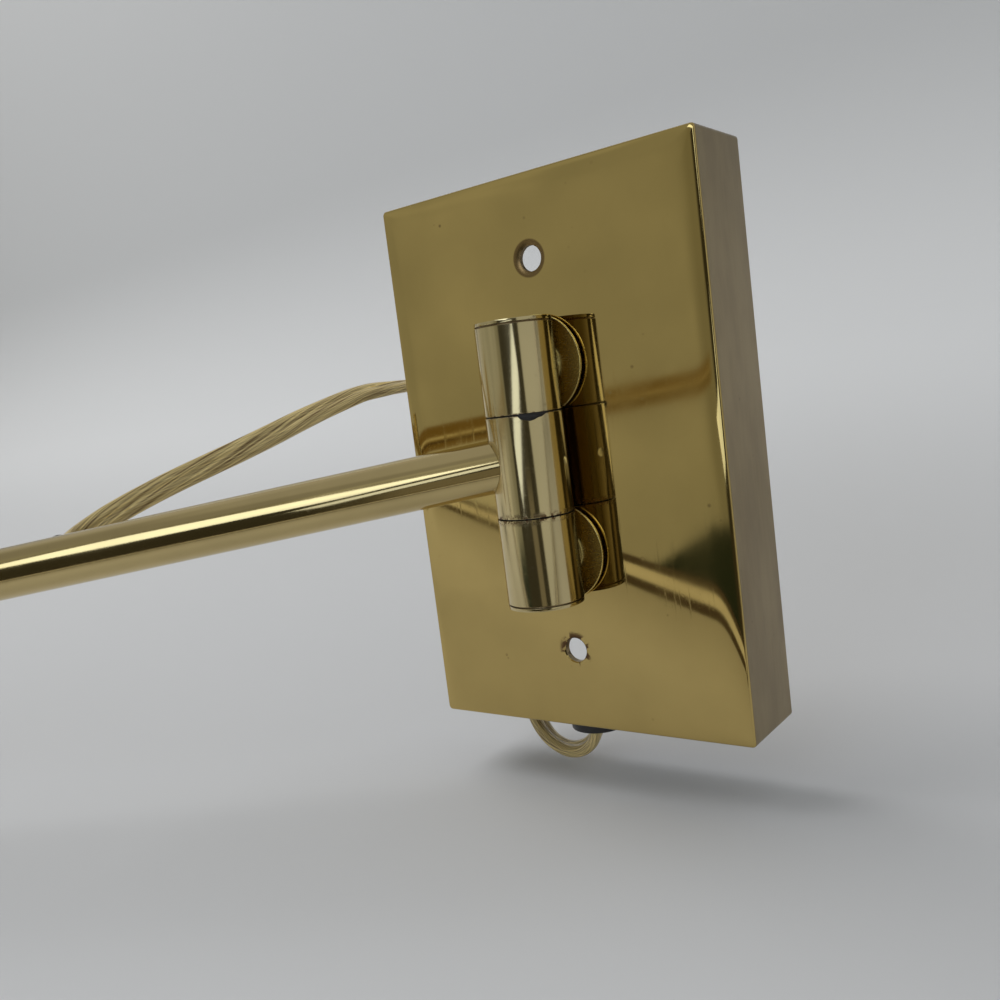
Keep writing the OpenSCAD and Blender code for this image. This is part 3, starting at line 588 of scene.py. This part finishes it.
knuckle_place = Vector((0, -28, 8)) * MM
arm_place = Vector((-100, -95, -10)) * MM
window_distance = 1.3
card_distance = 0.15
sky_distance = 1.6
daylight = (0.86, 0.97, 1.16)
skylight = (0.98, 0.985, 1.0)
soft_light("window", arm_place + direction(-84, 27) * window_distance, arm_place,
           size=(0.95, 0.42), watts=2.3, colour=daylight, tilt=-28)
soft_light("card", knuckle_place + direction(-73.5, 0) * card_distance, knuckle_place,
           size=(0.1, 0.025), watts=0.0095, colour=daylight, tilt=27.6)
soft_light("sky_box", direction(-168, 58) * sky_distance, knuckle_place,
           size=(1.4, 1.0), watts=12.8, colour=skylight, mirrored=False)
bpy.context.scene.view_settings.view_transform = "Standard"


# Wall plate.
# One pressed brass box, open to the wall, polished on its face and brushed on its sides.
# The face rolls off a little towards its edges, and the upper screw hole is countersunk.
cloud_share = 0.92
# Share of the tone left where tarnish and painted shade darken it.
tarnish_shade_share = (0.19, 0.16, 0.085)
speck_brown = (0.15, 0.085, 0.04)
satin_light = (0.265, 0.208, 0.125)
satin_dark = (0.195, 0.15, 0.093)


def brass(name, tone, grain, turn=(0, 0, 0), gloss=0.06, haze=0.06, tarnish=0.3, stain=None,
          dull_shade=None, brushed_sides=False):
    """Polished brass: slow colour clouds, wiping haze, fine scratches, brown specks and stains."""
    material, wire, shader = new_finish(name, Metallic=1.0)
    place = wire.node("TexCoord", output="Object")
    clouds = place.cloud(55, 4, 0.55)
    wipes = place.sized((26, 26, 60), (20, 30, 10)).cloud(1.0, 4, 0.6)
    scratches = place.sized(grain, turn).cloud(1.0, 2, 0.6)
    crossed = place.sized((0.5, 20, 0.5), (25, 40, 30)).cloud(1.0, 2, 0.5)
    fine = scratches.rise(0.6, 0.8) * 0.7 + crossed.rise(0.66, 0.84) * 0.5
    spots = place.node("TexVoronoi", None, {"Vector": place, "Scale": 260.0}, "Distance")
    specks = (1 - spots.rise(0.05, 0.13)) * place.cloud(70).rise(0.52, 0.66) * tarnish
    if stain:
        specks = wire.maths("MAXIMUM", specks, stain(place))
    clouded = clouds.rise(0.3, 0.75).blend(tone, [c * cloud_share for c in tone])
    # Tarnish and painted shade where the mask says.
    if dull_shade:
        tarnish_shade_tone = [c * share for c, share in zip(tone, tarnish_shade_share)]
        clouded = dull_shade(place).blend(clouded, tarnish_shade_tone)
    colour = specks.blend(clouded, speck_brown)
    roughness = gloss + haze * wipes.rise(0.4, 0.8) + 0.1 * fine + 0.34 * specks
    bumps = 0.3 * scratches - fine
    if brushed_sides:
        normal = wire.node("SeparateXYZ", None, {0: wire.node("TexCoord", output="Normal")})
        side = 1 - abs(normal.sister(1)).rise(0.2, 0.5)
        brushing = place.sized((30, 0.5, 12)).cloud(1.0, 3, 0.6)
        blotches = place.sized((9, 9, 26)).cloud(1.0, 3, 0.6).rise(0.35, 0.7)
        roughness = roughness + side * (0.22 + 0.14 * brushing)
        colour = (side * 0.85).blend(colour, blotches.blend(satin_light, satin_dark))
    feed(shader, Base_Color=colour, Roughness=roughness, Normal=bump_of(bumps, 0.06, 0.04 * MM))
    return material


def rounded_loop(half_w, half_h, corner, depth, per_corner=8):
    """One ring of the plate's outline at a depth, with its corners rounded."""
    ring = []
    for quarter, (sx, sz) in enumerate(((1, 1), (-1, 1), (-1, -1), (1, -1))):
        for k in range(per_corner + 1):
            a = math.pi / 2 * (quarter + k / per_corner)
            ring.append(Vector((sx * (half_w - corner) + corner * math.cos(a), depth,
                                sz * (half_h - corner) + corner * math.sin(a))))
    return ring


def lofted(name, rings):
    """A closed skin over rings of equal count, its two ends filled."""
    count = len(rings[0])
    vertices = [v for ring in rings for v in ring]
    faces = [(i * count + k, i * count + (k + 1) % count, (i + 1) * count + (k + 1) % count,
              (i + 1) * count + k) for i in range(len(rings) - 1) for k in range(count)]
    faces.append(tuple(range(count))[::-1])
    faces.append(tuple(range((len(rings) - 1) * count, len(rings) * count)))
    return mesh_piece(name, vertices, faces)


def turned(name, profile, place, axis, sides=64):
    """A closed solid of revolution: (radius, distance along the axis) pairs, ends filled."""
    turn = Vector(axis).to_track_quat("Z", "Y").to_matrix()
    rings = [[Vector(place) + turn @ Vector((r * math.cos(2 * math.pi * k / sides),
                                             r * math.sin(2 * math.pi * k / sides), along))
              for k in range(sides)] for r, along in profile]
    return lofted(name, rings)


def block(name, low, high):
    piece = bpy.data.objects.new(name, bpy.data.meshes.new(name))
    form = bmesh.new()
    bmesh.ops.create_cube(form, size=1.0)
    low, high = Vector(low), Vector(high)
    form.transform(Matrix.Translation((low + high) / 2) @ Matrix.Diagonal((*(high - low), 1)))
    form.to_mesh(piece.data)
    form.free()
    bpy.context.scene.collection.objects.link(piece)
    return piece


def cut(piece, cutters):
    """Cuts each cutter out of the piece, one after another."""
    for cutter in cutters:
        step = piece.modifiers.new("cut", "BOOLEAN")
        step.operation = "DIFFERENCE"
        step.solver = "EXACT"
        step.object = cutter
        bpy.context.view_layer.update()
        piece.data = bpy.data.meshes.new_from_object(piece.evaluated_get(
            bpy.context.evaluated_depsgraph_get()))
        piece.modifiers.clear()
        bpy.data.objects.remove(cutter)


flat_weight = 80
sharp_angle = math.radians(35)


def even_shading(piece):
    """Keeps flat faces flat and round ones smooth."""
    piece.data.shade_smooth()
    piece.data.set_sharp_from_angle(angle=sharp_angle)
    step = piece.modifiers.new("even", "WEIGHTED_NORMAL")
    step.keep_sharp = True
    step.weight = flat_weight


plate_low, plate_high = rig.box("back_plate")
plate_half_w = plate_high.x
plate_half_h = plate_high.z
plate_front = plate_low.y
plate_wall = 1.6 * MM
edge_round = 0.5 * MM
edge_steps = 8
roll_width = 6 * MM
roll_angle = math.radians(8)
roll_steps = 20
corner_round = 0.9 * MM


def plate_profile():
    """Inset from the outer edge and depth, from the rear rim round to the flat of the face.

    The face tips further the nearer it is to its edge, and a tight round ends it there."""
    turn_in = edge_round * (1 - math.sin(roll_angle))
    rolled = [(turn_in + roll_width, plate_front)]
    for k in range(roll_steps):
        tip = roll_angle * ((k + 0.5) / roll_steps) ** 3
        step = roll_width / roll_steps
        rolled.append((rolled[-1][0] - step, rolled[-1][1] + step * math.tan(tip)))
    shoulder = -rolled[-1][1] - edge_round * math.cos(roll_angle)
    yield 0, 0
    yield 0, -shoulder / 2
    for k in range(edge_steps + 1):
        a = (math.pi / 2 - roll_angle) * k / edge_steps
        yield edge_round * (1 - math.cos(a)), -shoulder - edge_round * math.sin(a)
    yield from rolled[-2::-1]


plate = lofted("pressed_plate", [
    rounded_loop(plate_half_w - inset, plate_half_h - inset, max(corner_round, inset), y)
    for inset, y in plate_profile()])
past_face = 1 * MM
cutter_reach = 4 * MM
hollow = lofted("hollow", [
    rounded_loop(plate_half_w - plate_wall, plate_half_h - plate_wall, corner_round, y)
    for y in (past_face, plate_front + plate_wall)])
cutters = [hollow]

screw_radius = 2.65 * MM
screw_height = 41.67 * MM
sink_radius = 3.8 * MM
sink_depth = 0.6 * MM
worn_radius = 2.9 * MM
worn_depth = 0.2 * MM
for z, mouth, sink in ((screw_height, sink_radius, sink_depth),
                       (-screw_height, worn_radius, worn_depth)):
    cutters.append(turned("screw_hole", [
        (mouth + past_face, -past_face), (mouth, 0), (screw_radius, sink),
        (screw_radius, cutter_reach)], (0, plate_front, z), (0, 1, 0)))

stud_height = 19.9 * MM
stud_radius = 3.25 * MM
for z in (-stud_height, stud_height):
    cutters.append(turned("stud_hole", [(stud_radius, -past_face), (stud_radius, cutter_reach)],
                          (0, plate_front, z), (0, 1, 0)))

bushing_radius = 5.2 * MM
bushing_place = (-2.5 * MM, -9.8 * MM)
cutters.append(turned("bushing_hole", [(bushing_radius, 0), (bushing_radius, cutter_reach)],
                      (*bushing_place, -plate_half_h - past_face), (0, 0, 1)))

notch_depth = 7.4 * MM
notch_half = 2.45 * MM
notch_reach = 3 * MM
lower_notch_x = -25 * MM
side_notch_z = 19.5 * MM
cutters.append(block(
    "lower_notch", (lower_notch_x - notch_half, -notch_depth, -plate_half_h - past_face),
    (lower_notch_x + notch_half, past_face, -plate_half_h + notch_reach)))
cutters.append(block(
    "side_notch", (-plate_half_w - past_face, -notch_depth, side_notch_z - notch_half),
    (-plate_half_w + notch_reach, past_face, side_notch_z + notch_half)))
cut(plate, cutters)
even_shading(plate)


def hole_stain(place):
    """A brown ring in the upper countersink and ragged marks round the lower hole."""
    across = place.node("SeparateXYZ", None, {0: place})
    up = across.sister(2)

    def from_hole(z):
        return place.maths("SQRT", across * across + (up - z) * (up - z))

    ring = 1 - from_hole(screw_height).rise(sink_radius - 0.1 * MM, sink_radius + 0.3 * MM)
    marks = 1 - from_hole(-screw_height).rise(3.2 * MM, 4.4 * MM)
    return place.maths("MAXIMUM", ring * 0.8, marks * place.cloud(430, 3).rise(0.54, 0.6))


plate.data.materials.clear()
plate.data.materials.append(brass("plate_brass", tone=(0.585, 0.435, 0.16), grain=(0.6, 0.6, 18),
                                  gloss=0.03, haze=0.06, tarnish=0.6, stain=hole_stain,
                                  brushed_sides=True))
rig.replaces(plate, "back_plate")
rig.slot(plate, "brass")
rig.ride(plate, "wall_plate")


# Flange discs, studs and nuts.
# A brass disc stands between each fixed barrel and the plate. A nickelled stud, turned with
# a collar, runs through it and is held inside the plate by a steel washer and nut.
nodes = frame["nodes"]
weld_gap = 0.002 * MM
edge_angle = math.radians(40)


def dress(names, material, chamfer):
    """Gives the frame's own parts a finish, and breaks their edges as a lathe or file does."""
    for name in names:
        part = nodes[name]
        part.data.materials.clear()
        part.data.materials.append(material)
        weld = part.modifiers.new("weld", "WELD")
        weld.merge_threshold = weld_gap
        edge = part.modifiers.new("edge", "BEVEL")
        edge.width = chamfer * MM
        edge.segments = 2
        edge.limit_method = "ANGLE"
        edge.angle_limit = edge_angle
        even = part.modifiers.new("even", "WEIGHTED_NORMAL")
        even.weight = flat_weight


def steel(name, tint, gloss):
    """Turned metal: slow clouds and fine rings of tool marks."""
    material, wire, shader = new_finish(name, Metallic=1.0)
    place = wire.node("TexCoord", output="Object")
    clouds = place.cloud(90, 3)
    marks = place.sized((3, 3, 0.35)).cloud(1.0, 2, 0.6)
    colour = clouds.blend(tint, [c * 0.86 for c in tint])
    feed(shader, Base_Color=colour, Roughness=gloss + 0.12 * marks * clouds,
         Normal=bump_of(marks, 0.05, 0.04 * MM))
    return material


flange_brass = brass("flange_brass", tone=(0.92, 0.74, 0.28), grain=(2, 2, 0.4), gloss=0.26,
                     tarnish=0.2)
nickel = steel("bright_nickel", tint=(0.78, 0.77, 0.74), gloss=0.08)
turned_steel = steel("turned_steel", tint=(0.6, 0.61, 0.62), gloss=0.22)
dress(["flange_discs"], flange_brass, chamfer=0.12)
dress(["mounting_studs"], nickel, chamfer=0.15)
dress(["lock_washers", "stud_nuts"], turned_steel, chamfer=0.12)


# Cord bushing, leads and connectors.
# A black moulded bushing keeps the cord off the plate's lower edge. Inside the box the cord
# splits into two leads, each ending in a black moulded connector.
def dark_part(name, tint, gloss):
    """Black moulding, fibre or rubber, with a little dust."""
    material, wire, shader = new_finish(name)
    place = wire.node("TexCoord", output="Object")
    grain = place.cloud(1400, 3, 0.6)
    dust = place.cloud(120, 4, 0.6).rise(0.55, 0.8)
    colour = (dust * 0.5).blend(tint, [c * 2.2 + 0.012 for c in tint])
    feed(shader, Base_Color=colour, Roughness=gloss + 0.2 * dust,
         Normal=bump_of(grain, 0.15, 0.06 * MM))
    return material


black_moulding = dark_part("black_moulding", tint=(0.013, 0.012, 0.012), gloss=0.32)
lead_finish = cord_finish()
dress(["cord_bushing", "wire_connectors"], black_moulding, chamfer=0.15)
dress(["lead_wires"], lead_finish, chamfer=0.05)


# Wall knuckle.
# Three turned brass barrels in line, capped at the ends: the outer two are fixed, and the middle
# one turns with the arm on a steel spindle in bronze bushes, with fibre washers in the seams.
def grime_at(seams, grooves=()):
    """A stain of black grease worked out of the seams, and dirt left in turned grooves."""
    def stain(place):
        up = place.node("SeparateXYZ", None, {0: place}).sister(2)
        dirt = 0
        for level, spread in seams:
            near = 1 - abs(up - level * MM).rise(0.15 * MM, spread * MM)
            dirt = dirt + near * place.cloud(900, 4, 0.7).rise(0.46, 0.56)
        for level in grooves:
            dirt = dirt + 0.7 * (1 - abs(up - level * MM).rise(0.15 * MM, 0.3 * MM))
        return place.maths("MINIMUM", dirt, 1.0)
    return stain


tarnish_shade_end, tarnish_shade_start = -29.5 * MM, -24.5 * MM


def tarnish_and_shade(place):
    """Brown tarnish where no polishing cloth reaches, with painted shade, between the barrels and the plate."""
    return place.node("SeparateXYZ", None, {0: place}).sister(1).rise(tarnish_shade_end, tarnish_shade_start)


worn_brass = (0.67, 0.55, 0.29)
upright_turning = (3, 3, 0.4)
seam_level = 10.35
groove_level = 28.25
knuckle_brass = brass("knuckle_brass", worn_brass, upright_turning, gloss=0.11, dull_shade=tarnish_and_shade,
                      stain=grime_at([(seam_level, 0.5), (-seam_level, 1.5)],
                                     (groove_level, -groove_level)))
bronze = steel("bush_bronze", tint=(0.5, 0.32, 0.16), gloss=0.35)
pin_brass = brass("pin_brass", tone=(0.95, 0.88, 0.68), grain=(0.4, 0.4, 0.4), gloss=0.2)
black_fibre = dark_part("black_fibre", tint=(0.016, 0.014, 0.012), gloss=0.6)
dress(["upper_barrel", "lower_barrel", "middle_barrel", "barrel_caps"], knuckle_brass,
      chamfer=0.1)
dress(["pivot_bushes"], bronze, chamfer=0.1)
dress(["pivot_spindle"], turned_steel, chamfer=0.12)
dress(["spindle_pin"], pin_brass, chamfer=0.1)
dress(["friction_washers"], black_fibre, chamfer=0.06)


# Torn washer.
# The upper friction washer's edge has torn, and a black flap of it hangs out over the
# turning barrel. Its edge is given as bearings in degrees and drops in millimetres.
flap_radius = 7.97 * MM
flap_root = 0.3 * MM
flap_tip = 0.24 * MM
flap_top = Vector((0, -27.9, 10.45)) * MM
flap_edge = [(-64, 0.25), (-60, 0.95), (-54, 1.2), (-47, 1.5), (-41, 1.35), (-35, 1.0),
             (-29, 0.85), (-23, 0.4), (-16, 0.15)]
flap_rings = []
for turn, drop in flap_edge:
    out = direction(turn, 0)
    low = flap_top - Vector((0, 0, drop * MM))
    flap_rings.append([flap_top + out * flap_radius, flap_top + out * (flap_radius + flap_root),
                       low + out * (flap_radius + flap_tip), low + out * flap_radius])
flap = lofted("washer_flap", flap_rings)
flap.data.materials.append(black_fibre)
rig.slot(flap, "black_plastic")
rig.ride(flap, "first_arm")


# First arm.
# A drawn brass tube pressed onto a turned steel spigot at each end. The cord enters through
# a rubber grommet and runs on inside the tube.
arm_tone = (0.61, 0.48, 0.225)
drawn_grain = (40, 0.5, 0.5)
first_turn = (0, 5.5, -147.5)
first_brass = brass("first_arm_brass", arm_tone, drawn_grain, first_turn, gloss=0.1, haze=0.07)
dress(["first_arm_tube"], first_brass, chamfer=0.12)
dress(["first_spigot", "elbow_spigot"], turned_steel, chamfer=0.12)
dress(["cord_grommet"], black_fibre, chamfer=0.06)
dress(["first_lead"], lead_finish, chamfer=0.05)


# Elbow.
# Two more turned barrels, one over the other, on a steel spindle with a retaining ring; a
# fibre washer between them holds the arm where it is set.
elbow_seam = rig.box("elbow_friction_washer")[0].z / MM
elbow_brass = brass("elbow_brass", worn_brass, upright_turning, gloss=0.11,
                    stain=grime_at([(elbow_seam, 0.7)]))
dress(["elbow_lower_barrel", "elbow_upper_barrel", "elbow_lower_cap", "elbow_upper_cap"],
      elbow_brass, chamfer=0.1)
dress(["elbow_spindle", "elbow_retainer"], turned_steel, chamfer=0.12)
dress(["elbow_bush"], bronze, chamfer=0.1)
dress(["elbow_friction_washer"], black_fibre, chamfer=0.06)


# Second arm.
# The same drawn tube on its own spigot. Its far end is pressed into a collar, where a
# threaded steel nipple with a nut and a fibre washer carries the lamp head.
lengthwise_turning = (0.4, 3, 3)
second_brass = brass("second_arm_brass", arm_tone, drawn_grain, gloss=0.1, haze=0.07)
collar_brass = brass("collar_brass", worn_brass, lengthwise_turning, gloss=0.11)
dress(["second_arm_tube"], second_brass, chamfer=0.12)
dress(["swivel_collar"], collar_brass, chamfer=0.1)
dress(["second_spigot", "swivel_nipple", "nipple_nut"], turned_steel, chamfer=0.12)
dress(["swivel_washer"], black_fibre, chamfer=0.06)
dress(["second_lead"], lead_finish, chamfer=0.05)


# Socket.
# A spun brass cup holds a black moulded lamp socket with a thin brass screw shell and a
# springy brass contact at its foot.
head_tone = (0.64, 0.5, 0.235)
cup_brass = brass("cup_brass", head_tone, lengthwise_turning, gloss=0.12, tarnish=0.2)
shell_brass = brass("shell_brass", tone=(0.7, 0.58, 0.32), grain=lengthwise_turning, gloss=0.16,
                    tarnish=0.2)
dress(["socket_cup"], cup_brass, chamfer=0.12)
dress(["lamp_socket"], black_moulding, chamfer=0.15)
dress(["screw_shell", "centre_contact"], shell_brass, chamfer=0.1)


# Shade.
# Rolled brass sheet with two pressed ends, lacquered outside and stove enamelled white
# inside, held on the socket by a black ring.
enamel_white = (0.8, 0.785, 0.74)
enamel_dusty = (0.72, 0.7, 0.64)
rolled_grain = (30, 0.6, 0.6)


def shade_finish(name, inside):
    """Brass with white enamel where the mask says."""
    material = brass(name, head_tone, rolled_grain, gloss=0.12, haze=0.08, tarnish=0.2)
    wire = Wire(material.node_tree)
    shader = material.node_tree.nodes["Principled BSDF"]
    enamel = inside(wire)
    bare = Wire(wire.tree, shader.inputs["Base Color"].links[0].from_socket)
    gloss = Wire(wire.tree, shader.inputs["Roughness"].links[0].from_socket)
    dust = wire.node("TexCoord", output="Object").cloud(140, 4, 0.6).rise(0.5, 0.8)
    white = dust.blend(enamel_white, enamel_dusty)
    feed(shader, Base_Color=enamel.blend(bare, white), Metallic=1 - enamel,
         Roughness=gloss * (1 - enamel) + (0.32 + 0.2 * dust) * enamel)
    return material


shade_low, shade_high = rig.box("shade")
shade_radius = 38 * MM
shade_axis_y = (shade_low.y + shade_high.y) / 2
shade_axis_z = shade_high.z - shade_radius
enamel_radius = 37.3 * MM
enamel_edge = 0.1 * MM


def inside_curve(wire):
    """Within the half round and the straight skirts below it."""
    place = wire.node("SeparateXYZ", None, {0: wire.node("TexCoord", output="Object")})
    across = place.sister(1) - shade_axis_y
    up = wire.maths("MAXIMUM", place.sister(2) - shade_axis_z, 0)
    from_axis = wire.maths("SQRT", across * across + up * up)
    return 1 - from_axis.rise(enamel_radius, enamel_radius + enamel_edge)


def inside_end(way):
    """The face of an end that looks along the shade."""
    def mask(wire):
        facing = wire.node("SeparateXYZ", None, {0: wire.node("TexCoord", output="Normal")})
        return (facing * way).rise(0.7, 0.8)
    return mask


dress(["shade"], shade_finish("shade_sheet", inside_curve), chamfer=0.12)
dress(["shade_back"], shade_finish("shade_back_sheet", inside_end(-1)), chamfer=0.12)
dress(["shade_front"], shade_finish("shade_front_sheet", inside_end(1)), chamfer=0.12)
dress(["shade_ring"], black_moulding, chamfer=0.15)


# Switch.
# A black moulded rotary switch through the side of the cup, held by a brass nut, with a
# small turned brass knob on its steel stem.
crosswise_turning = (3, 0.4, 3)
knob_brass = brass("knob_brass", worn_brass, crosswise_turning, gloss=0.12)
dress(["switch_body"], black_moulding, chamfer=0.15)
dress(["switch_nut", "knob"], knob_brass, chamfer=0.12)
dress(["switch_stem"], turned_steel, chamfer=0.12)


# The box of the bare solids and the box of the dressed lamp, as plain numbers.
seen_low, seen_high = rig.bounds()
with open("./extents.json", "w") as sizes:
    json.dump({"cad": [list(cad_low), list(cad_high)],
               "visual": [list(seen_low), list(seen_high)]}, sizes)
